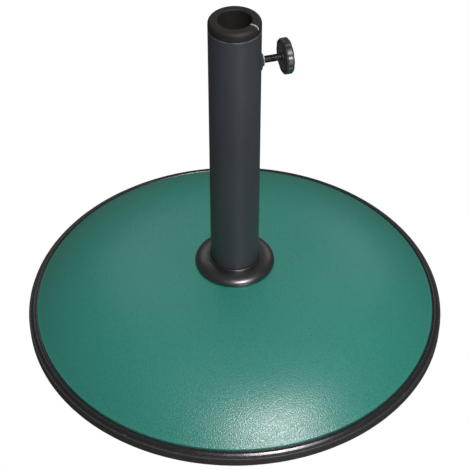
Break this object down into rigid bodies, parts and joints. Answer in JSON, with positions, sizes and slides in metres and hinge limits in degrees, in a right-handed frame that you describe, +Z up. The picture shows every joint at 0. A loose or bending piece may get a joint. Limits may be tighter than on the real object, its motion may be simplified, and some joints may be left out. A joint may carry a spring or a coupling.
{
  "type": "patio umbrella base",
  "caption": "Round domed weighted base for a patio umbrella: pebbled green disc with black edge trim, dark tubular post with pole collar, and a side clamp screw with a star knob.",
  "frame": {"origin": "on the floor at the centre of the disc", "axes": "+Z up along the post, +X towards the clamp knob"},
  "size_m": [0.5044, 0.5044, 0.4172],
  "materials": {
    "green_shell": "moulded, fine pebbled grain",
    "edge_black": "extruded, semi-gloss, scuffed",
    "post_coating": "powder coated, satin",
    "gloss_black": "moulded, high gloss",
    "collar_black": "moulded, soft gloss",
    "knob_black": "moulded, polished",
    "seat_grey": "moulded, plain",
    "tip_nylon": "natural nylon",
    "stud_steel": "black oxide, bright on the thread crests",
    "boss_steel": "coated with the post, rubbed bright at its face",
    "zinc_steel": "zinc plated",
    "raw_steel": "mill finish",
    "concrete": "cast, fine pores",
    "pad_rubber": "matt"
  },
  "bodies": {
    "base": {"floor_pads": "pad_rubber", "reinforcement_ring": "raw_steel", "concrete_core": "concrete", "dome_cover": "green_shell", "edge_trim": "edge_black", "post_socket": "raw_steel", "post_tube": "post_coating", "post_foot": "raw_steel", "foot_weld": "raw_steel", "foot_bolt": "zinc_steel", "spring_washer": "zinc_steel", "anchor_washer": "zinc_steel", "pole_seat": "seat_grey", "weld_nut": "boss_steel", "nut_weld": "boss_steel"},
    "cover": {"flange_cover": "gloss_black"},
    "collar": {"pole_collar": "collar_black"},
    "clamp_tip": {"thrust_tip": "tip_nylon"},
    "clamp_screw": {"star_knob": "knob_black", "clamp_stud": "stud_steel"}
  },
  "joints": [
    {"name": "collar_lift", "type": "slide", "parent": "base", "child": "collar", "axis": [0, 0, 1], "range_m": [0, 0.045]},
    {"name": "cover_lift", "type": "slide", "parent": "base", "child": "cover", "axis": [0, 0, 1], "range_m": [0, 0.245]},
    {"name": "clamp_advance", "type": "slide", "parent": "base", "child": "clamp_tip", "axis": [1, 0, 0], "range_m": [-0.01885, 0.0051]},
    {"name": "clamp_turn", "type": "hinge", "parent": "clamp_tip", "child": "clamp_screw", "pos_m": [0, 0, 0.3604], "axis": [1, 0, 0], "range_deg": [-5400, 1440]}
  ],
  "couplings": [
    {"joint": "clamp_advance", "follows": "clamp_turn", "m_per_rad": 0.00019894}
  ]
}
